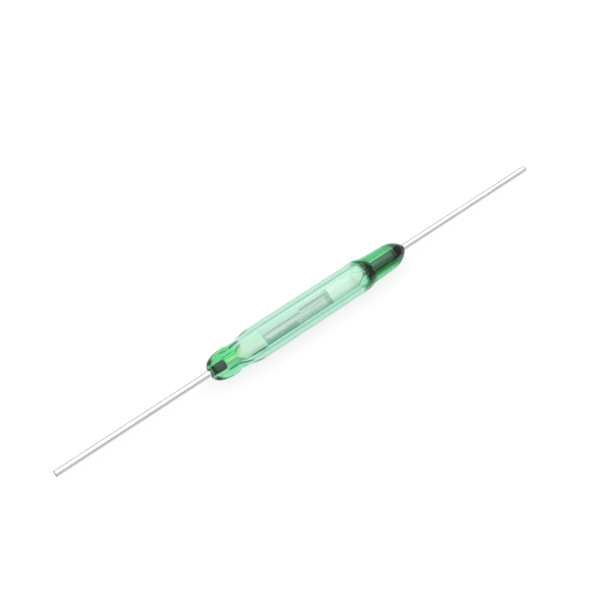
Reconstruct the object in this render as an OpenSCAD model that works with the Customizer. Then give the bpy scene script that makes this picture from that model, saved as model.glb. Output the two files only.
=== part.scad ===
// Miniature reed switch: a sealed glass capsule with a ferromagnetic reed through each end.
// The capsule's axis is X, its middle is the origin, and +Z is up as it lies on a bench.
// All sizes are in millimetres.

/* [Glass tube] */
// Outer diameter of the glass tube
tube_d = 2; // [1.8:0.1:3]
// Length of the glass from end to end
tube_l = 14.5; // [12:0.5:20]
// Wall of the tube between its seals
wall_t = 0.28; // [0.2:0.02:0.38]

/* [Blunt seal, at the left end] */
// Length of solid glass at the blunt end
blunt_seal_l = 0.95; // [0.9:0.05:1.6]
// Width of the glass rim round the wire
blunt_rim_w = 0.13; // [0.05:0.01:0.2]
// Depth of the dimple that the wire leaves by
blunt_dip = 0.16; // [0.02:0.01:0.2]
// Length over which the molten end rounds over
blunt_round_l = 1.1; // [0.8:0.05:1.2]
// Squareness of that rounding, where 2 is an ellipse
blunt_squareness = 2.1; // [2:0.1:4]
// How far the glass is drawn in behind the rounding
blunt_draw = 0.15; // [0.04:0.01:0.18]
// Distance of the bead's crest from the blunt end
bead_at = 1.3; // [1.25:0.05:1.5]
// How far the bead's crest stays below the tube's surface
bead_draw = 0.12; // [0.02:0.01:0.14]
// Distance of the waist from the blunt end
waist_at = 1.75; // [1.6:0.05:2]
// How far the waist is drawn in
waist_draw = 0.2; // [0.03:0.01:0.24]
// Distance from the blunt end at which the tube has its full diameter
waist_end = 3.3; // [2.1:0.05:3.6]
// Length of the narrow neck where the glass closed round the wire
neck_l = 0.6; // [0.4:0.05:1]
// Room between the wire and the neck
neck_room = 0.12; // [0.06:0.01:0.15]
// Room between the flat blade's edge and the funnel, where the blade has just become flat
funnel_room = 0.08; // [0.06:0.01:0.15]

/* [Pointed seal, at the right end] */
// Length of solid glass at the pointed end
pointed_seal_l = 2.6; // [2.4:0.1:3.6]
// Length of the bullet-shaped end, from its shoulder to its tip
bullet_l = 2.65; // [1.8:0.05:3]
// How much the bullet's radius tapers before its nose
bullet_taper = 0.06; // [0.02:0.01:0.1]
// Length of the round nose
nose_l = 1.25; // [0.8:0.05:1.6]
// Width of the glass round the wire at the nose's tip
nose_w = 0.02; // [0.02:0.01:0.1]
// Length over which the tube draws in to the bullet
shoulder_l = 0.8; // [0.6:0.05:1.6]
// How far the tube draws in there
shoulder_draw = 0.14; // [0.04:0.01:0.16]
// Length of the cone in which the cavity closes on the wire
cone_l = 0.83; // [0.5:0.01:1]
// Width of the flat ring at the bottom of that cone
cone_floor_w = 0.09; // [0.03:0.01:0.15]

/* [Softness of the molten glass] */
// Reach of the rounding at each edge of the cavity's two floors
floor_round = 0.1; // [0.04:0.01:0.2]
// Reach of the rounding where the cavity widens and closes
wall_round = 0.16; // [0.04:0.02:0.3]

/* [Leads] */
// Length over both leads
overall_l = 35.3; // [28:0.1:60]
// Diameter of the wire
wire_d = 0.4; // [0.3:0.02:0.5]
// How much the wire's diameter draws down from the end of the glass to the end of its seal
wire_draw = 0.01; // [0.005:0.005:0.03]
// Rounding of the left lead's cut end
left_tip_round = 0.03; // [0.01:0.01:0.1]
// Rounding of the right lead's cut end
right_tip_round = 0.12; // [0.01:0.01:0.14]

/* [Blades] */
// Width of the pressed blades
blade_w = 0.98; // [0.8:0.02:1.1]
// Thickness of the pressed blades
blade_t = 0.13; // [0.1:0.01:0.18]
// Length of round wire beyond the neck, before the flare
left_shank_l = 0.05; // [0.05:0.05:0.4]
// Length of round wire between the pointed seal and the flare
right_shank_l = 0.7; // [0.4:0.05:1]
// Length over which the round wire is pressed out flat
flare_l = 0.6; // [0.4:0.05:0.8]
// Length of flat blade between the flare and the line where the blade flexes
flexure_in = 0.2; // [0.1:0.05:0.4]
// Rounding of the corners at a blade's tip
tip_corner = 0.12; // [0.04:0.01:0.3]
// Place of the contacts along the tube, from its middle
contact_x = -1.025; // [-1.5:0.025:0.5]
// Length by which the two tips overlap
overlap_l = 0.5; // [0.3:0.05:0.8]
// Gap between the open contacts
contact_gap = 0.08; // [0.04:0.01:0.14]
// Turn of the blades about the tube's axis, as the switch lies
blade_roll = 25; // [0:1:60]

/* [Contact plating] */
// Length of blade that is plated, from its tip
plated_l = 2.75; // [1:0.05:3]
// Thickness of the plating, drawn thicker than the few micrometres of a real one
plating_t = 0.01; // [0.006:0.001:0.02]

/* [Hidden] */
$fn = 96;

tube_r = tube_d / 2;
bore_r = tube_r - wall_t;
wire_r = wire_d / 2;
shank_r = wire_r - wire_draw / 2;
neck_r = wire_r + neck_room;
funnel_r = blade_w / 2 + funnel_room;
glass_left = -tube_l / 2;
glass_right = tube_l / 2;
cavity_left = glass_left + blunt_seal_l;
cavity_right = glass_right - pointed_seal_l;
left_flare_x = cavity_left + neck_l + left_shank_l;
right_flare_x = cavity_right - right_shank_l;
left_reach = contact_x - left_flare_x;
right_reach = right_flare_x - contact_x;
blade_lift = contact_gap / 2 + plating_t + blade_t / 2;
blade_end = overlap_l / 2;

glass_colour = [0.72, 0.9, 0.8, 0.35];
tinned_colour = [0.8, 0.8, 0.79];
reed_colour = [0.78, 0.79, 0.76];
plating_colour = [0.6, 0.64, 0.62];

// Outlines are lists of [radius, place along the axis].

// A soft S-shaped step from one point to another, along the axis
function eased(from, to, steps) = [for (i = [1:steps]) let (u = i / steps)
    [from.x + (to.x - from.x) * (1 - cos(180 * u)) / 2, from.y + (to.y - from.y) * u]];

// A rounded end from its tip to its shoulder, where fullness 2 is a quarter ellipse
function crown(tip, shoulder, fullness, steps) = [for (i = [0:steps]) let (a = 90 * i / steps)
    [tip.x + (shoulder.x - tip.x) * pow(sin(a), 2 / fullness),
     tip.y + (shoulder.y - tip.y) * (1 - pow(cos(a), 2 / fullness))]];

function reversed(points) = [for (i = [len(points) - 1:-1:0]) points[i]];

// An arc that leaves its start along the axis and bends in to its end
function bowed(from, to, steps) = let (
    along = to.y - from.y,
    in = from.x - to.x,
    radius = (pow(along, 2) + pow(in, 2)) / (2 * in),
    turn = asin(along / radius))
    [for (i = [0:steps]) from + radius * [cos(turn * i / steps) - 1, sin(turn * i / steps)]];

// The corner b of the outline a, b, c, softened to a curve within its reach
function softened(a, b, c, reach, steps) = let (
    before = b + (a - b) * min(reach / norm(a - b), 0.5),
    after = b + (c - b) * min(reach / norm(c - b), 0.5))
    [for (i = [0:steps]) let (u = i / steps)
        pow(1 - u, 2) * before + 2 * u * (1 - u) * b + pow(u, 2) * after];

// The glass

dimple = [wire_r - (wire_r - shank_r) * blunt_dip / blunt_seal_l, glass_left + blunt_dip];
rim = [wire_r + blunt_rim_w, glass_left];
blunt_shoulder = [tube_r - blunt_draw, glass_left + blunt_round_l];
bead = [tube_r - bead_draw, glass_left + bead_at];
waist = [tube_r - waist_draw, glass_left + waist_at];
tube_start = [tube_r, glass_left + waist_end];
tube_stop = [tube_r, glass_right - bullet_l - shoulder_l];
bullet_shoulder = [tube_r - shoulder_draw, glass_right - bullet_l];
nose_start = [bullet_shoulder.x - bullet_taper, glass_right - nose_l];
nose = [wire_r + nose_w, glass_right];

outer_line = concat(reversed(crown(rim, dimple, 2, 4)), crown(rim, blunt_shoulder, blunt_squareness, 12),
    eased(blunt_shoulder, bead, 4), eased(bead, waist, 6), eased(waist, tube_start, 8),
    [tube_stop], eased(tube_stop, bullet_shoulder, 9),
    bowed(nose_start, nose, 14), [[wire_r, glass_right]]);

left_floor = [shank_r, cavity_left];
neck_foot = [neck_r, cavity_left];
neck_mouth = [neck_r, cavity_left + neck_l];
bore_start = neck_mouth + (bore_r - neck_r) * [1, (left_shank_l + flare_l) / (funnel_r - neck_r)];
bore_stop = [bore_r, cavity_right - cone_l];
cone_foot = [shank_r + cone_floor_w, cavity_right];
right_floor = [shank_r, cavity_right];

cavity_line = concat([left_floor],
    softened(left_floor, neck_foot, neck_mouth, floor_round, 5),
    softened(neck_foot, neck_mouth, bore_start, wall_round, 4),
    softened(neck_mouth, bore_start, bore_stop, wall_round, 4),
    softened(bore_start, bore_stop, cone_foot, wall_round, 4),
    softened(bore_stop, cone_foot, right_floor, floor_round, 4),
    [right_floor]);

module along_axis() rotate([0, 90, 0]) children();

module glass_envelope() {
    color(glass_colour) along_axis()
        rotate_extrude() polygon(concat(outer_line, reversed(cavity_line)));
}

// The round wire as far as the flare, drawn down a little where the seal grips it

module wire(tip, tip_round, seal_out, seal_in, flare_x) {
    inward = sign(seal_in - tip);
    along_axis() rotate_extrude($fn = 48)
        polygon(concat([[0, tip]],
            [for (a = [0:15:90]) [wire_r - tip_round * (1 - sin(a)), tip + inward * tip_round * (1 - cos(a))]],
            [[wire_r, seal_out], [shank_r, seal_in], [shank_r, flare_x], [0, flare_x]]));
}

// The left blade lies above the right one where they meet.
// Each is drawn as the left one, from its reach before the contacts, and the right one is turned half round.

module as_left() translate([contact_x, 0, 0]) rotate([blade_roll, 0, 0]) children();

module as_right() as_left() rotate([0, 180, 0]) children();

// Pressing thins the wire and spreads it sideways, so its section keeps its area

facets = 32;
flare_steps = 6;
slice_t = 0.001;
root_in = 0.05;
half_t = blade_t / 2;

function pressed_t(u) = half_t + (shank_r - half_t) * pow(1 - u, 2);

function spread(t) = (pow(shank_r, 2) - pow(t, 2)) / t;

function pressed_w(t) = t + (blade_w / 2 - half_t) * spread(t) / spread(half_t);

module pressed_section(x, u) {
    t = pressed_t(u);
    for (side = [-1, 1])
        translate([x - slice_t, side * (pressed_w(t) - t), blade_lift * (1 - pow(1 - u, 2))])
            rotate([0, 90, 0]) cylinder(r = t * cos(180 / facets), h = slice_t, $fn = facets);
}

function flexure_x(reach) = -reach + flare_l + flexure_in;

module flare(reach) {
    stations = concat([[-reach - root_in, 0]],
        [for (i = [1:flare_steps - 1]) [-reach + flare_l * i / (flare_steps - 1), i / (flare_steps - 1)]],
        [[flexure_x(reach), 1]]);
    for (i = [0:len(stations) - 2])
        hull() {
            pressed_section(stations[i][0], stations[i][1]);
            pressed_section(stations[i + 1][0], stations[i + 1][1]);
        }
}

module left_lead() {
    color(tinned_colour) {
        wire(-overall_l / 2, left_tip_round, glass_left, cavity_left, left_flare_x);
        as_left() flare(left_reach);
    }
}

module right_lead() {
    color(tinned_colour) {
        wire(overall_l / 2, right_tip_round, glass_right, cavity_right, right_flare_x);
        as_right() flare(right_reach);
    }
}

// The flat blade from a start to its tip, or a skin of it that is larger all round

module blade_section(skin) {
    flat = blade_w / 2 - half_t;
    square([2 * flat, blade_t + 2 * skin], center = true);
    for (side = [-1, 1])
        translate([side * flat, 0]) circle(r = half_t + skin);
}

module blade_plan(start, skin) {
    square_end = blade_end - tip_corner;
    half_w = blade_w / 2 + skin;
    inner_w = blade_w / 2 - tip_corner;
    translate([start, -half_w]) square([square_end - start, 2 * half_w]);
    translate([start, -inner_w]) square([blade_end + skin - start, 2 * inner_w]);
    for (side = [-1, 1])
        translate([square_end, side * inner_w]) circle(r = tip_corner + skin);
}

module flat_blade(start, skin = 0) {
    translate([0, 0, blade_lift])
        intersection() {
            translate([start, 0, 0]) rotate([90, 0, 90])
                linear_extrude(blade_end + skin - start) blade_section(skin);
            translate([0, 0, -blade_t]) linear_extrude(2 * blade_t) blade_plan(start, skin);
        }
}

module plating() {
    start = blade_end - plated_l;
    difference() {
        flat_blade(start, plating_t);
        flat_blade(start - plated_l);
    }
}

module left_blade() color(reed_colour) as_left() flat_blade(flexure_x(left_reach));

module right_blade() color(reed_colour) as_right() flat_blade(flexure_x(right_reach));

module left_contact_plating() color(plating_colour) as_left() plating();

module right_contact_plating() color(plating_colour) as_right() plating();

glass_envelope();
left_lead();
right_lead();
left_blade();
right_blade();
left_contact_plating();
right_contact_plating();
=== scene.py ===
# A miniature reed switch, piece by piece as it is put together: two pressed reeds with plated tips,
# sealed into a green glass tube. It lies along X on a white bench. Sizes are in metres, as the frame
# is, and MM turns a size in millimetres into them.

import math

import bmesh
import bpy
from mathutils import Matrix, Vector


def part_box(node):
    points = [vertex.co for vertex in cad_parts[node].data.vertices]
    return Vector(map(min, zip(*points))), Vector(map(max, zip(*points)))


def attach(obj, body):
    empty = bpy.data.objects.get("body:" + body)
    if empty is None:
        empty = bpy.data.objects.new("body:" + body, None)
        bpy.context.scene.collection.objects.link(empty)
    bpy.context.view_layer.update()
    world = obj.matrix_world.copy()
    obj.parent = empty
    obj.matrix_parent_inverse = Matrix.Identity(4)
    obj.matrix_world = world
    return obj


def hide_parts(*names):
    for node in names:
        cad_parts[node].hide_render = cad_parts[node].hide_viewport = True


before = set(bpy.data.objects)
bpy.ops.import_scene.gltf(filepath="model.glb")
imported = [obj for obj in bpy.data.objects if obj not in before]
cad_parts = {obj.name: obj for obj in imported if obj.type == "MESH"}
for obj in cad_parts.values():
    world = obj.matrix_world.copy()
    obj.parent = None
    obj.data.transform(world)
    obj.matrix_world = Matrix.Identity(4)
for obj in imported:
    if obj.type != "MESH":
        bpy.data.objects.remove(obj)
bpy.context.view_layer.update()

MM = 0.001


# The two reeds. Each is one soft nickel-iron wire, tinned outside the glass, that a die presses flat
# where it springs. Pressing keeps the area of the section, so the wire grows wide as it grows thin.
# Each is drawn as a lead with its flare, which the glass holds, and a springing blade.

glass_low, glass_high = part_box("glass_envelope")
glass_left, glass_right = glass_low.x, glass_high.x
tube_r = (glass_high.z - glass_low.z) / 2
left_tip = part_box("left_lead")[0].x
right_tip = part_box("right_lead")[1].x
left_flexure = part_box("left_blade")[0].x
right_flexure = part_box("right_blade")[1].x

wire_r = 0.2 * MM
shank_r = 0.195 * MM
blunt_dip = 0.16 * MM
blunt_seal = 0.95 * MM
pointed_seal = 2.6 * MM
blade_half_w = 0.49 * MM
blade_half_t = 0.065 * MM
flare_length = 0.6 * MM
flexure_in = 0.2 * MM
blade_lift = 0.115 * MM
tip_corner = 0.12 * MM
plating_t = 0.01 * MM
plated_length = 2.75 * MM
left_tip_round = 0.03 * MM
right_tip_round = 0.12 * MM
blade_roll = math.radians(25)

cavity_left = glass_left + blunt_seal
cavity_right = glass_right - pointed_seal
contact_x = (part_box("left_blade")[1].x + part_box("right_blade")[0].x) / 2
left_reach = contact_x - left_flexure
right_reach = right_flexure - contact_x
blade_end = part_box("left_blade")[1].x - contact_x
as_left = Matrix.Translation((contact_x, 0, 0)) @ Matrix.Rotation(blade_roll, 4, "X")
as_right = as_left @ Matrix.Rotation(math.pi, 4, "Y")


class Flow:
    """A node's output, on which arithmetic adds the nodes that work it out."""

    def __init__(self, tree, output):
        self.tree = tree
        self.output = output

    def node(self, kind, settings, inputs, output=0):
        return add_node(self.tree, kind, settings, inputs, output)

    def maths(self, operation, first, second=0.0):
        return self.node("ShaderNodeMath", {"operation": operation}, {0: first, 1: second})

    def __add__(self, other):
        return self.maths("ADD", self, other)

    def __radd__(self, other):
        return self.maths("ADD", other, self)

    def __sub__(self, other):
        return self.maths("SUBTRACT", self, other)

    def __rsub__(self, other):
        return self.maths("SUBTRACT", other, self)

    def __mul__(self, other):
        return self.maths("MULTIPLY", self, other)

    def __rmul__(self, other):
        return self.maths("MULTIPLY", other, self)

    def __truediv__(self, other):
        return self.maths("DIVIDE", self, other)

    def __rtruediv__(self, other):
        return self.maths("DIVIDE", other, self)

    def __pow__(self, other):
        return self.maths("POWER", self, other)

    def at_least(self, other):
        return self.maths("MAXIMUM", self, other)

    def at_most(self, other):
        return self.maths("MINIMUM", self, other)

    def beside(self, name):
        """Another output of the same node."""
        return Flow(self.tree, self.output.node.outputs[name])

    def step(self, start, end):
        """0 before start and 1 after end, with a smooth rise between them."""
        return self.node(
            "ShaderNodeMapRange",
            {"interpolation_type": "SMOOTHSTEP"},
            {"Value": self, "From Min": start, "From Max": end},
        )


def add_node(tree, kind, settings, inputs, output=0):
    """The flow from a new node: first its settings, then the value or the link of each input."""
    made = tree.nodes.new(kind)
    for name, value in settings.items():
        if name == "stops":
            ramp = made.color_ramp
            while len(ramp.elements) < len(value):
                ramp.elements.new(1.0)
            for stop, (place, colour) in zip(ramp.elements, value):
                stop.position = place
                stop.color = (*colour, 1.0)
        else:
            setattr(made, name, value)
    for name, value in inputs.items():
        if isinstance(value, Flow):
            tree.links.new(value.output, made.inputs[name])
        else:
            made.inputs[name].default_value = value
    return Flow(tree, made.outputs[output])


def split(place):
    """The x, y and z of a place."""
    x = place.node("ShaderNodeSeparateXYZ", {}, {0: place})
    return x, x.beside("Y"), x.beside("Z")


def start_shape(name, sizes):
    """A geometry tree whose named inputs are the sizes, with its flows by name."""
    tree = bpy.data.node_groups.new(name, "GeometryNodeTree")
    tree.interface.new_socket("Geometry", in_out="INPUT", socket_type="NodeSocketGeometry")
    tree.interface.new_socket("Geometry", in_out="OUTPUT", socket_type="NodeSocketGeometry")
    for size in sizes:
        kind = "NodeSocketInt" if size == "Sides" else "NodeSocketFloat"
        tree.interface.new_socket(size, in_out="INPUT", socket_type=kind)
    tree.interface.new_socket("Finish", in_out="INPUT", socket_type="NodeSocketMaterial")
    entry = tree.nodes.new("NodeGroupInput")
    return tree, {socket.name: Flow(tree, socket) for socket in entry.outputs if socket.name}


def end_shape(tree, shape, finish):
    """Makes the shape real, gives it its finish and hands it out."""
    whole = shape.node("GeometryNodeRealizeInstances", {}, {0: shape})
    dressed = whole.node("GeometryNodeSetMaterial", {}, {"Geometry": whole, "Material": finish})
    leave = tree.nodes.new("NodeGroupOutput")
    tree.links.new(dressed.output, leave.inputs[0])


def shaped(name, outline, tree, sizes):
    """A plain mesh object: the outline's points, run through the tree at these sizes."""
    line = bpy.data.meshes.new(name + "_outline")
    line.from_pydata(outline, [(i, i + 1) for i in range(len(outline) - 1)], [])
    draft = bpy.data.objects.new(name + "_draft", line)
    bpy.context.scene.collection.objects.link(draft)
    modifier = draft.modifiers.new("shape", "NODES")
    modifier.node_group = tree
    for item in tree.interface.items_tree:
        if item.in_out == "INPUT" and item.name in sizes:
            modifier[item.identifier] = sizes[item.name]
    depsgraph = bpy.context.evaluated_depsgraph_get()
    mesh = bpy.data.meshes.new_from_object(draft.evaluated_get(depsgraph))
    bpy.data.objects.remove(draft)
    mesh.name = name
    piece = bpy.data.objects.new(name, mesh)
    bpy.context.scene.collection.objects.link(piece)
    return piece


def pressed_wire_tree():
    """Rings along the wire, each a circle that pressing draws out to a flat bar with round edges."""
    tree, given = start_shape(
        "pressed wire",
        ["Sides", "Tip", "Tip round", "Seal out", "Seal in", "Wire", "Shank", "Flare from", "Flare",
         "Half width", "Half thickness", "Lift", "Corner from", "Corner", "Skin"],
    )
    path = add_node(tree, "GeometryNodeMeshToCurve", {}, {"Mesh": given["Geometry"]})
    circle = {"Resolution": given["Sides"], "Radius": MM}
    ring = add_node(tree, "GeometryNodeCurvePrimitiveCircle", {}, circle)
    rail = {"Curve": path, "Profile Curve": ring, "Fill Caps": True}
    sweep = add_node(tree, "GeometryNodeCurveToMesh", {}, rail)
    place = add_node(tree, "GeometryNodeInputPosition", {}, {})
    x, y, z = split(place)
    across = y / MM
    upward = z / MM

    # The tip's round corner, then the plain wire, then the slow draw inside the seal
    tip_round = given["Tip round"]
    short = ((given["Tip"] + tip_round - x) / tip_round).at_least(0.0)
    rounding = tip_round * (1 - (1 - short * short).at_least(0.0) ** 0.5)
    drawn = ((x - given["Seal out"]) / (given["Seal in"] - given["Seal out"])).at_least(0.0).at_most(1.0)
    radius = given["Wire"] - rounding - drawn * (given["Wire"] - given["Shank"])

    # Pressed from round to flat, while the section keeps its area
    left = 1 - ((x - given["Flare from"]) / given["Flare"]).at_least(0.0).at_most(1.0)
    half_t = given["Half thickness"]
    shank = given["Shank"]
    thin = half_t + (radius - half_t) * left * left
    spread = ((radius * radius - thin * thin) / thin).at_least(0.0)
    whole_spread = (shank * shank - half_t * half_t) / half_t
    offset = (given["Half width"] - half_t) * spread / whole_spread

    # The round corners of the blade's own tip
    corner = given["Corner"]
    past = ((x - given["Corner from"]) / (corner + given["Skin"])).at_least(0.0).at_most(1.0)
    drawn_in = (corner + given["Skin"]) * (1 - (1 - past * past).at_least(0.0) ** 0.5)
    side = across.maths("SIGN", across)
    thick = thin + given["Skin"]
    new_y = across * thick + side * (offset - drawn_in).at_least(0.0)
    new_z = upward * thick + given["Lift"] * (1 - left * left)

    moved = add_node(tree, "ShaderNodeCombineXYZ", {}, {"X": x, "Y": new_y, "Z": new_z})
    pressed = add_node(tree, "GeometryNodeSetPosition", {}, {"Geometry": sweep, "Position": moved})
    smooth = add_node(tree, "GeometryNodeSetShadeSmooth", {}, {"Geometry": pressed})
    end_shape(tree, smooth, given["Finish"])
    return tree


def round_steps(start, end, steps):
    """Places along a quarter round, close together at its start."""
    return [start + (end - start) * (1 - math.cos(math.pi / 2 * i / steps)) for i in range(steps)]


def even_steps(start, end, steps):
    return [start + (end - start) * i / steps for i in range(steps)]


pressed_wire = pressed_wire_tree()
left_flare = -left_reach - flexure_in - flare_length
right_flare = -right_reach - flexure_in - flare_length
square_end = blade_end - tip_corner
far_off = 1.0
wire_sides = 64


def reed_part(name, places, finish, placed, **sizes):
    """A stretch of one reed, drawn as the left one and then put in its place."""
    plain = {
        "Sides": wire_sides, "Tip": -far_off, "Tip round": MM, "Seal out": -far_off, "Seal in": -far_off / 2,
        "Wire": shank_r, "Shank": shank_r, "Flare from": left_flare, "Flare": flare_length,
        "Half width": blade_half_w, "Half thickness": blade_half_t, "Lift": blade_lift,
        "Corner from": far_off, "Corner": tip_corner, "Skin": 0.0, "Finish": finish,
    }
    piece = shaped(name, [(x, 0, 0) for x in places], pressed_wire, {**plain, **sizes})
    piece.data.transform(placed)
    return piece


def start_finish(name):
    """A material's tree with a Principled shader, and its Object coordinates."""
    material = bpy.data.materials.new(name)
    material.use_nodes = True
    tree = material.node_tree
    shader = tree.nodes["Principled BSDF"]
    return material, tree, shader, add_node(tree, "ShaderNodeTexCoord", {}, {}, "Object")


def feed(tree, shader, inputs):
    """Sets or links the inputs of a shader that is there already."""
    for name, value in inputs.items():
        if isinstance(value, Flow):
            tree.links.new(value.output, shader.inputs[name])
        else:
            shader.inputs[name].default_value = value


def stretched_noise(place, scale, detail=3.0, roughness=0.55):
    """Noise on a place whose axes are scaled one by one, from 0 to 1."""
    mapped = place.node("ShaderNodeMapping", {}, {"Vector": place, "Scale": scale})
    grain = {"Vector": mapped, "Scale": 1.0, "Detail": detail, "Roughness": roughness}
    return place.node("ShaderNodeTexNoise", {}, grain)


def fine_bump(height, strength, depth):
    """Normals for scratches or ripples of this depth."""
    return height.node("ShaderNodeBump", {}, {"Height": height, "Strength": strength, "Distance": depth})


def mixed(share, first, second):
    """A colour between two colours."""
    return share.node("ShaderNodeMix", {"data_type": "RGBA"}, {0: share, 6: first, 7: second}, 2)


def rgb(red, green, blue):
    return (red, green, blue, 1.0)


# The direction, square to the wires, along which the painted light and shade on the glass and the metal
# change from back to front
front_y = -0.87
front_z = -0.494


def forward(y, z):
    """How far a place lies towards the front edge."""
    return y * front_y + z * front_z


def annealed_colour_and_shade(place, mottle):
    """Bare pale nickel-iron, with painted shade that makes the left reed duller, most of all along its back
    edge.
    """
    x, y, z = split(place)
    on_left = 1 - x.step(contact_x - 0.1 * MM, contact_x + 0.1 * MM)
    # Painted shade: the left reed darkened, most of all along its back edge
    left_painted_shade = on_left * (1 - forward(y, z).step(-0.3 * MM, 0.1 * MM) * 0.65)
    bare = mixed(mottle, rgb(0.97, 0.9, 0.88), rgb(1.0, 0.95, 0.93))
    return mixed(left_painted_shade, bare, rgb(0.72, 0.79, 0.68))


def tinned_wire_finish():
    """Bright tin outside, dark oxide in the seals and bare metal in the tube, with fine drawing lines."""
    material, tree, shader, place = start_finish("tinned wire")
    x = split(place)[0]
    lines = stretched_noise(place, (900, 60000, 60000))
    mottle = stretched_noise(place, (700, 2500, 2500))
    sealed = x.step(glass_left + 0.2 * MM, glass_left + 0.26 * MM)
    sealed = sealed * (1 - x.step(glass_right - 0.1 * MM, glass_right))
    seal_edge = 0.02 * MM
    inside = x.step(cavity_left - seal_edge, cavity_left + seal_edge)
    inside = inside * (1 - x.step(cavity_right - seal_edge, cavity_right + seal_edge))

    # The sheared ends of the wire show its grey core
    cut = 1 - x.step(left_tip + 0.02 * MM, left_tip + 0.05 * MM)
    cut = cut + x.step(right_tip - 0.14 * MM, right_tip - 0.08 * MM)
    tin = mixed(mottle, rgb(0.64, 0.64, 0.635), rgb(0.74, 0.74, 0.73))
    tin = mixed(cut, tin, rgb(0.38, 0.38, 0.37))

    # The oxide is darker in the short seal, and in the nose of the long one the wire is painted black as
    # painted shade
    nose_painted_shade = x.step(glass_right - 1.04 * MM, glass_right - 0.98 * MM)
    oxide = mixed(mottle, rgb(0.14, 0.17, 0.16), rgb(0.26, 0.3, 0.28))
    oxide = mixed(x.step(cavity_left, cavity_right), rgb(0.06, 0.075, 0.07), oxide)
    oxide = mixed(nose_painted_shade, oxide, rgb(0.02, 0.03, 0.025))

    colour = mixed(inside, mixed(sealed, tin, oxide), annealed_colour_and_shade(place, mottle))
    rough = 0.2 + lines * 0.12 + sealed * 0.2
    bump = fine_bump(lines, 0.25, 0.002 * MM)
    feed(tree, shader, {"Base Color": colour, "Metallic": 1.0, "Roughness": rough, "Normal": bump})
    return material


def reed_metal_finish():
    """The same bare metal, left satin by the die."""
    material, tree, shader, place = start_finish("annealed reed")
    lines = stretched_noise(place, (1500, 40000, 40000))
    mottle = stretched_noise(place, (1800, 3000, 3000))
    colour = annealed_colour_and_shade(place, mottle)
    rough = 0.4 + lines * 0.14
    bump = fine_bump(lines, 0.2, 0.002 * MM)
    feed(tree, shader, {"Base Color": colour, "Metallic": 1.0, "Roughness": rough, "Normal": bump})
    return material


tinned_wire = tinned_wire_finish()
reed_metal = reed_metal_finish()

left_from = left_tip - contact_x
left_lead = reed_part(
    "left_lead_drawn",
    [*round_steps(left_from, left_from + left_tip_round, 6), left_from + left_tip_round,
     glass_left - contact_x, cavity_left - contact_x,
     *even_steps(left_flare, left_flare + flare_length, 24), left_flare + flare_length, -left_reach],
    tinned_wire,
    as_left,
    **{"Tip": left_from, "Tip round": left_tip_round, "Wire": wire_r, "Flare from": left_flare,
       "Seal out": glass_left - contact_x, "Seal in": cavity_left - contact_x},
)
right_from = contact_x - right_tip
right_lead = reed_part(
    "right_lead_drawn",
    [*round_steps(right_from, right_from + right_tip_round, 8), right_from + right_tip_round,
     contact_x - glass_right, contact_x - cavity_right,
     *even_steps(right_flare, right_flare + flare_length, 24), right_flare + flare_length, -right_reach],
    tinned_wire,
    as_right,
    **{"Tip": right_from, "Tip round": right_tip_round, "Wire": wire_r, "Flare from": right_flare,
       "Seal out": contact_x - glass_right, "Seal in": contact_x - cavity_right},
)
for piece, node in ((left_lead, "left_lead"), (right_lead, "right_lead")):
    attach(piece, "capsule")
    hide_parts(node)

hinge_room = 0.002 * MM


def tip_steps(corner, steps=10):
    """Places along the round corners of a blade's tip, close together at its end."""
    return [square_end + corner * math.sin(math.pi / 2 * i / steps) for i in range(1, steps + 1)]


for side, placed, reach in (("left", as_left, left_reach), ("right", as_right, right_reach)):
    places = [*even_steps(-reach + hinge_room, square_end, 8), square_end, *tip_steps(tip_corner)]
    blade = reed_part(side + "_blade_pressed", places, reed_metal, placed, **{"Corner from": square_end})
    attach(blade, side + "_reed")
    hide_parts(side + "_blade")


# The contact plating. A few micrometres of hard grey metal on the last stretch of each blade, wrapped
# over its edges and its tip. It ends in a straight line across the blade, where the bath stopped.

plating_start = blade_end - plated_length


def plating_finish():
    """Glossy grey, darker where the plating starts, with painted shade and painted reflections in bands
    along the blade.
    """
    material, tree, shader, place = start_finish("contact plating")
    lines = stretched_noise(place, (2500, 30000, 30000))
    mottle = stretched_noise(place, (900, 2500, 2500))
    x, y, z = split(place)
    front = forward(y, z)
    left_start = contact_x + plating_start
    right_start = contact_x - plating_start
    rim = 1 - x.step(left_start, left_start + 0.4 * MM)
    rim = rim * 0.5 + x.step(right_start - 0.45 * MM, right_start - 0.25 * MM) * 0.8
    # Painted shade and painted reflections: darker bands along the back and the front of the blades
    back_painted_shade = front.step(-0.48 * MM, -0.38 * MM) * (1 - front.step(-0.2 * MM, -0.08 * MM))
    on_right = x.step(contact_x - 0.35 * MM, contact_x - 0.05 * MM)
    front_painted_shade = front.step(0.08 * MM, 0.3 * MM) * (1 - on_right * 0.62)
    colour = mixed(mottle, rgb(0.6, 0.55, 0.57), rgb(0.67, 0.62, 0.64))
    colour = mixed(rim, colour, rgb(0.38, 0.4, 0.36))
    colour = mixed(back_painted_shade, colour, rgb(0.45, 0.47, 0.47))
    colour = mixed(front_painted_shade, colour, rgb(0.3, 0.42, 0.37))
    rough = 0.08 + lines * 0.05
    bump = fine_bump(lines, 0.15, 0.001 * MM)
    feed(tree, shader, {"Base Color": colour, "Metallic": 1.0, "Roughness": rough, "Normal": bump})
    return material


contact_plating = plating_finish()
for side, placed in (("left", as_left), ("right", as_right)):
    plating = reed_part(
        side + "_plating_skin",
        [*even_steps(plating_start, square_end, 8), square_end, *tip_steps(tip_corner + plating_t)],
        contact_plating,
        placed,
        **{"Corner from": square_end, "Skin": plating_t},
    )
    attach(plating, side + "_reed")
    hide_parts(side + "_contact_plating")


# The glass envelope. A length of green glass tube, which takes up the heat of a lamp, softened at each
# end until it closes on the wire. The left end was cut square and rounded by its own melting, and the
# right end drew down to a bullet.

wall = 0.28 * MM
bore_r = tube_r - wall
neck_r = wire_r + 0.12 * MM
funnel_r = blade_half_w + 0.08 * MM
bullet_length = 3.45 * MM
seal_grip = 0.004 * MM
glass_sides = 128


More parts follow.
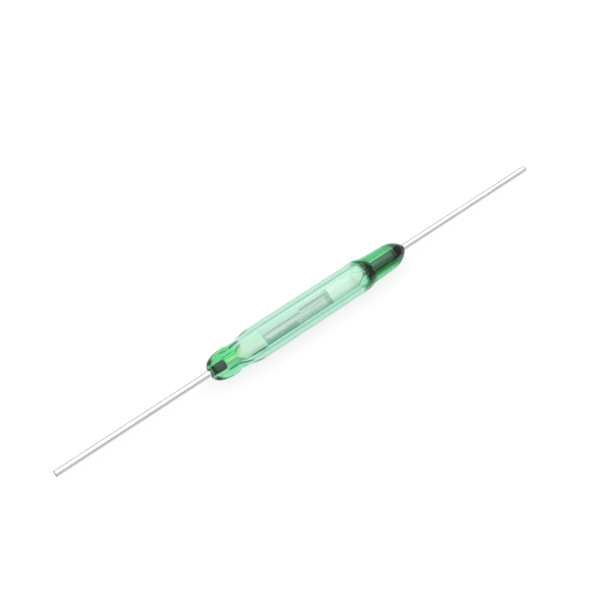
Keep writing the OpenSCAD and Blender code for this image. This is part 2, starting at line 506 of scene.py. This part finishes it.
def eased(start, end, steps):
    """A soft step between two points of an outline, each [radius, place]."""
    return [
        (start[0] + (end[0] - start[0]) * (1 - math.cos(math.pi * i / steps)) / 2,
         start[1] + (end[1] - start[1]) * i / steps)
        for i in range(1, steps + 1)
    ]


def crown(tip, shoulder, fullness, steps):
    """A rounded end from its tip to its shoulder, where fullness 2 is a quarter ellipse."""
    turns = [math.pi / 2 * i / steps for i in range(steps + 1)]
    return [
        (tip[0] + (shoulder[0] - tip[0]) * math.sin(a) ** (2 / fullness),
         tip[1] + (shoulder[1] - tip[1]) * (1 - max(math.cos(a), 0.0) ** (2 / fullness)))
        for a in turns
    ]


def bowed(start, end, steps):
    """An arc that leaves its start along the axis and bends in to its end."""
    along, inward = end[1] - start[1], start[0] - end[0]
    radius = (along ** 2 + inward ** 2) / (2 * inward)
    turns = [math.asin(along / radius) * i / steps for i in range(steps + 1)]
    return [(start[0] - radius * (1 - math.cos(a)), start[1] + radius * math.sin(a)) for a in turns]


def softened(before, corner, after, reach, steps):
    """The corner of an outline, softened to a curve within its reach."""
    start, middle, end = (Vector(point) for point in (before, corner, after))
    start = middle + (start - middle) * min(reach / (start - middle).length, 0.5)
    end = middle + (end - middle) * min(reach / (end - middle).length, 0.5)
    shares = [i / steps for i in range(steps + 1)]
    return [tuple((1 - u) ** 2 * start + 2 * u * (1 - u) * middle + u * u * end) for u in shares]


def glass_outline():
    """The skin, the cavity's wall and the right seal's bore, each as points of radius and place."""
    dimple = (wire_r - (wire_r - shank_r) * blunt_dip / blunt_seal, glass_left + blunt_dip)
    rim = (wire_r + 0.13 * MM, glass_left)
    blunt_shoulder = (tube_r - 0.121 * MM, glass_left + 1.28 * MM)
    bead = (tube_r - 0.12 * MM, glass_left + 1.3 * MM)
    waist = (tube_r - 0.2 * MM, glass_left + 1.75 * MM)
    tube_start = (tube_r, glass_left + 3.3 * MM)
    tube_stop = (tube_r, glass_right - bullet_length)
    bullet_shoulder = (tube_r - 0.14 * MM, glass_right - 2.65 * MM)
    nose_start = (bullet_shoulder[0] - 0.06 * MM, glass_right - 1.25 * MM)
    nose = (wire_r + 0.02 * MM, glass_right)
    outer = [*reversed(crown(rim, dimple, 2, 8)), *crown(rim, blunt_shoulder, 2.1, 28)[1:]]
    outer += [*eased(blunt_shoulder, bead, 8), *eased(bead, waist, 12), *eased(waist, tube_start, 14)]
    outer += [tube_stop, *eased(tube_stop, bullet_shoulder, 18), *bowed(nose_start, nose, 28)]
    outer += [(wire_r, glass_right)]

    floor_round = 0.1 * MM
    wall_round = 0.16 * MM
    left_floor = (shank_r, cavity_left)
    neck_foot = (neck_r, cavity_left)
    neck_mouth = (neck_r, cavity_left + 0.6 * MM)
    flat_from = left_flexure - flexure_in
    funnel_share = (bore_r - neck_r) / (funnel_r - neck_r)
    bore_start = (bore_r, neck_mouth[1] + (flat_from - neck_mouth[1]) * funnel_share)
    bore_stop = (bore_r, cavity_right - 0.83 * MM)
    cone_foot = (shank_r + 0.09 * MM, cavity_right)
    right_floor = (shank_r, cavity_right)
    cavity = [
        left_floor, *softened(left_floor, neck_foot, neck_mouth, floor_round, 8),
        *softened(neck_foot, neck_mouth, bore_start, wall_round, 8),
        *softened(neck_mouth, bore_start, bore_stop, 0.55 * MM, 14),
        *softened(bore_start, bore_stop, cone_foot, wall_round, 8),
        *softened(bore_stop, cone_foot, right_floor, floor_round, 8), right_floor,
    ]
    held = [(wire_r, glass_right), right_floor]
    return outer, cavity, held


def turned_glass_tree():
    """Turns a closed outline about X."""
    tree, given = start_shape("turned glass", ["Sides"])
    count = add_node(tree, "GeometryNodeAttributeDomainSize", {"component": "MESH"}, {0: given["Geometry"]})
    corners = {"Vertices X": given["Sides"] + 1, "Vertices Y": count + 1}
    grid = add_node(tree, "GeometryNodeMeshGrid", {}, corners)
    index = add_node(tree, "GeometryNodeInputIndex", {}, {})
    turn = (index / (count + 1)).maths("FLOOR", index / (count + 1))
    row = index - turn * (count + 1)
    row = row.maths("MODULO", row, count)
    place = add_node(tree, "GeometryNodeInputPosition", {}, {})
    point = add_node(
        tree,
        "GeometryNodeSampleIndex",
        {"data_type": "FLOAT_VECTOR"},
        {"Geometry": given["Geometry"], "Value": place, "Index": row},
    )
    angle = (turn / given["Sides"]).maths("FRACT", turn / given["Sides"]) * (2 * math.pi)
    about_x = {"rotation_type": "X_AXIS"}
    swung = add_node(tree, "ShaderNodeVectorRotate", about_x, {"Vector": point, "Angle": angle})
    turned = add_node(tree, "GeometryNodeSetPosition", {}, {"Geometry": grid, "Position": swung})
    doubles = {"Geometry": turned, "Distance": 0.0001 * MM}
    closed = add_node(tree, "GeometryNodeMergeByDistance", {}, doubles)
    smooth = add_node(tree, "GeometryNodeSetShadeSmooth", {}, {"Geometry": closed})
    end_shape(tree, smooth, given["Finish"])
    return tree


def green_glass_finish():
    """Clear where it is a tube, with painted shade, painted highlights and painted reflections laid on as
    tints, darkest where it closed solid and most of all in front.
    """
    material, tree, shader, place = start_finish("green glass")
    x, y, z = split(place)
    radius = (y * y + z * z) ** 0.5
    side = forward(y, z) / MM
    along = (x - glass_left) / MM
    upper = (y * front_z - z * front_y).step(-0.1 * MM, 0.1 * MM)
    streaks = stretched_noise(place, (300, 5000, 5000), 2.0)

    # The painted light and shade of the upper half runs from 0 near the back edge to 1 near the front edge
    across = side * 0.6 + 0.5

    def painted_shading_ramp(*stops):
        """A band of painted light and shade that runs through these stops from back to front."""
        return across.node("ShaderNodeValToRGB", {"stops": stops}, {0: across})

    # Painted reflections and shade on the tube: dark teal lines near its back and front edges
    tube_painted_shading = painted_shading_ramp(
        (0.035, (1.0, 1.0, 1.0)), (0.055, (0.56, 0.85, 0.79)), (0.07, (0.6, 0.87, 0.82)),
        (0.1, (0.95, 0.98, 0.98)), (0.3, (0.98, 1.0, 1.0)), (0.5, (1.0, 1.0, 1.0)), (0.6, (0.99, 1.0, 1.0)),
        (0.72, (0.9, 0.99, 0.96)), (0.85, (0.88, 0.99, 0.95)), (0.88, (0.25, 0.76, 0.58)),
        (0.92, (0.25, 0.76, 0.58)), (0.95, (1.0, 1.0, 1.0)),
    )
    tube_painted_shading = mixed(upper, rgb(1.0, 1.0, 1.0), tube_painted_shading)
    # Painted shade and a painted highlight across the bullet
    bullet_painted_shading = painted_shading_ramp(
        (0.0, (0.9, 1.0, 0.92)), (0.2, (0.006, 0.5, 0.1)), (0.24, (0.015, 0.58, 0.17)),
        (0.29, (0.85, 1.0, 0.95)), (0.34, (0.35, 0.85, 0.6)), (0.5, (0.45, 0.85, 0.65)),
        (0.66, (0.001, 0.05, 0.006)), (0.79, (0.0003, 0.05, 0.003)), (0.87, (0.08, 0.45, 0.18)),
        (1.0, (0.9, 1.0, 0.92)),
    )
    bullet_painted_shading = mixed(upper, rgb(0.4, 0.93, 0.6), bullet_painted_shading)
    # Painted shade: the dark ring round the end of the cavity
    ring_painted_shading = painted_shading_ramp(
        (0.08, (0.1, 0.5, 0.36)), (0.25, (0.002, 0.006, 0.004)), (0.75, (0.002, 0.004, 0.003)),
        (0.92, (0.004, 0.14, 0.05)),
    )
    lower_ring_painted_shading = mixed(side.step(0.78, 0.9), rgb(0.75, 0.95, 0.85), rgb(0.1, 0.45, 0.2))
    ring_painted_shading = mixed(upper, lower_ring_painted_shading, ring_painted_shading)
    # Painted light and shade across the neck
    neck_painted_shading = painted_shading_ramp(
        (0.15, (0.3, 0.9, 0.52)), (0.38, (0.4, 0.95, 0.55)), (0.46, (0.95, 1.0, 0.8)),
        (0.62, (0.95, 1.0, 0.8)), (0.7, (0.2, 0.75, 0.42)), (0.82, (0.75, 1.0, 0.9)),
    )
    # Painted light and shade across the solid blunt end
    blunt_painted_shading = painted_shading_ramp(
        (0.1, (0.4, 0.95, 0.6)), (0.25, (0.08, 0.8, 0.26)), (0.38, (0.14, 0.85, 0.36)),
        (0.46, (1.0, 1.0, 1.0)),
    )

    # Painted shade and a painted highlight on the bullet, the painted dark ring round the end of its cavity,
    # and the painted black of its nose
    bullet = x.step(cavity_right - 0.55 * MM, cavity_right - 0.2 * MM)
    bowed_x = x + side * side * (0.3 * MM)
    ring = bowed_x.step(glass_right - bullet_length, glass_right - 3.3 * MM)
    ring = ring * (1 - x.step(glass_right - 2.85 * MM, glass_right - 2.7 * MM))
    ring = ring * radius.step(bore_r, bore_r + 0.03 * MM)
    nose = upper.at_least(side.step(0.1, 0.4)).at_least(0.5)
    nose = nose * x.step(glass_right - 1.15 * MM, glass_right - 0.8 * MM)
    painted_glass_shading = mixed(bullet, tube_painted_shading, bullet_painted_shading)
    painted_glass_shading = mixed(ring, painted_glass_shading, ring_painted_shading)
    painted_glass_shading = mixed(nose, painted_glass_shading, rgb(0.01, 0.08, 0.03))

    # Painted light and shade on the neck and the solid blunt end
    blunt = 1 - x.step(cavity_left - 0.06 * MM, cavity_left + 0.06 * MM)
    neck = (1 - blunt) * (1 - x.step(cavity_left + 0.55 * MM, cavity_left + 1.3 * MM))
    painted_glass_shading = mixed(neck, painted_glass_shading, neck_painted_shading)
    painted_glass_shading = mixed(blunt, painted_glass_shading, blunt_painted_shading)

    # Thin painted dark lines of shade on the skin near the neck. Each has a start and an end, given by along
    # and side in millimetres, and half a width.
    painted_lines = (
        ((0.8, 0.41), (1.6, 0.43), 0.075),
        ((1.5, 0.42), (2.5, 0.745), 0.075),
        ((2.4, 0.47), (3.5, 0.49), 0.06),
        ((0.85, -0.66), (1.37, -0.56), 0.055),
        ((1.49, -0.61), (2.3, -0.7), 0.085),
        ((1.68, -0.29), (2.2, -0.45), 0.065),
    )
    skin = upper * radius.step(0.7 * MM, 0.74 * MM)
    for start, end, half_width in painted_lines:
        slope = (end[1] - start[1]) / (end[0] - start[0])
        off = side - (along - start[0]) * slope - start[1]
        painted_line = 1 - (off * off).step(0.0, half_width * half_width)
        painted_line = painted_line * along.step(start[0] - 0.1, start[0] + 0.1)
        painted_line = painted_line * (1 - along.step(end[0] - 0.2, end[0] + 0.1))
        painted_glass_shading = mixed(painted_line * skin, painted_glass_shading, rgb(0.003, 0.12, 0.05))

    # Painted shade round the rim of the blunt end
    painted_rim_shade = (1 - along.step(0.2, 0.5)) * (side * side).step(0.12, 0.3)
    painted_glass_shading = mixed(painted_rim_shade, painted_glass_shading, rgb(0.02, 0.08, 0.03))

    feed(tree, shader, {
        "Base Color": painted_glass_shading, "Roughness": streaks * 0.01, "IOR": 1.51, "Transmission Weight": 1.0,
        "Normal": fine_bump(streaks, 0.1, 0.001 * MM),
    })

    # The pale green of the glass itself, which deepens with its thickness
    depth_green = {"Color": rgb(0.0, 0.84, 0.44), "Density": 760.0}
    depth = add_node(tree, "ShaderNodeVolumeAbsorption", {}, depth_green)
    tree.links.new(depth.output, tree.nodes["Material Output"].inputs["Volume"])
    return material


green_glass = green_glass_finish()
outer, cavity, held = glass_outline()

# In both seals the glass reaches a hair into the wire's skin, so that no gap shows along it
grip = [(radius - seal_grip, x) for radius, x in (held[0], held[1], cavity[0], outer[0])]
outline = [*outer[1:-1], grip[0], grip[1], *reversed(cavity[1:-1]), grip[2], grip[3]]
glass = shaped(
    "glass_tube_sealed", [(x, 0, radius) for radius, x in outline], turned_glass_tree(),
    {"Sides": glass_sides, "Finish": green_glass},
)
work = bmesh.new()
work.from_mesh(glass.data)
bmesh.ops.recalc_face_normals(work, faces=work.faces)
work.to_mesh(glass.data)
work.free()
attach(glass, "capsule")
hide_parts("glass_envelope")


# The bench, the light and the camera. The switch lies on white paper under three long soft lamps, with
# a narrow dark gap between the broad one overhead and the others, in a room that is dimmer all round.

bench_half = 0.6
bench_z = -tube_r
bench = bpy.data.objects.new("bench", bpy.data.meshes.new("bench"))
bench.data.from_pydata(
    [(-bench_half, -bench_half, bench_z), (bench_half, -bench_half, bench_z),
     (bench_half, bench_half, bench_z), (-bench_half, bench_half, bench_z)],
    [], [(0, 1, 2, 3)],
)
bpy.context.scene.collection.objects.link(bench)
paper = bpy.data.materials.new("white paper")
paper.use_nodes = True
paper_tree = paper.node_tree
seen = add_node(paper_tree, "ShaderNodeLightPath", {}, {}, "Is Camera Ray")
mirrored = seen.beside("Is Glossy Ray").at_least(seen.beside("Is Transmission Ray"))

# The paper glows by itself where it is seen or mirrored, and its dark base takes the shadow
seen_white = 0.8
mirrored_white = 0.73
glow = mixed(seen * seen_white + mirrored * mirrored_white, rgb(0, 0, 0), rgb(1, 1, 1))
feed(paper_tree, paper_tree.nodes["Principled BSDF"], {
    "Base Color": rgb(0.18, 0.18, 0.18), "Roughness": 0.9, "Specular IOR Level": 0.0,
    "Emission Color": glow, "Emission Strength": 1.0,
})
bench.data.materials.append(paper)

room_light = 0.4
world = bpy.data.worlds.new("studio")
bpy.context.scene.world = world
world.use_nodes = True
world_seen = add_node(world.node_tree, "ShaderNodeLightPath", {}, {}, "Is Camera Ray")
feed(world.node_tree, world.node_tree.nodes["Background"], {
    "Color": rgb(1, 1, 1), "Strength": room_light + world_seen * (1 - room_light),
})

lamp_distance = 0.5
lamp_width = 1.2

# Each soft lamp's turn up from the back of the bench in degrees, its depth and its radiance
soft_lamps = {"sky": (66.9, 0.7508, 1.45), "strip": (109.6, 0.0629, 1), "front": (132, 0.325, 0.9)}
for name, (degrees, depth, radiance) in soft_lamps.items():
    turn = math.radians(degrees)
    lamp = bpy.data.objects.new(name, bpy.data.lights.new(name, "AREA"))
    lamp.data.shape = "RECTANGLE"
    lamp.data.size = lamp_width
    lamp.data.size_y = depth
    lamp.data.energy = radiance * math.pi * lamp_width * depth
    lamp.location = (0, lamp_distance * math.cos(turn), lamp_distance * math.sin(turn))
    lamp.rotation_euler = (turn - math.pi / 2, 0, 0)
    bpy.context.scene.collection.objects.link(lamp)

camera_turn = math.radians(-38.6)
camera_height = math.radians(54)
camera_distance = 75.7 * MM
aim_right = -0.583 * MM
aim_up = 0.486 * MM
back = Vector((
    math.sin(camera_turn) * math.cos(camera_height),
    -math.cos(camera_turn) * math.cos(camera_height),
    math.sin(camera_height),
))
right = Vector((math.cos(camera_turn), math.sin(camera_turn), 0))
up = back.cross(right)
camera = bpy.data.objects.new("camera", bpy.data.cameras.new("camera"))
camera.data.sensor_width = 36
camera.data.lens = 77.07
camera.data.clip_start = MM
camera.data.clip_end = 10
camera.matrix_world = Matrix(((*right, 0), (*up, 0), (*back, 0), (0, 0, 0, 1))).transposed()
camera.location = back * camera_distance + right * aim_right + up * aim_up
bpy.context.scene.collection.objects.link(camera)
bpy.context.scene.camera = camera

bpy.context.scene.view_settings.view_transform = "Standard"
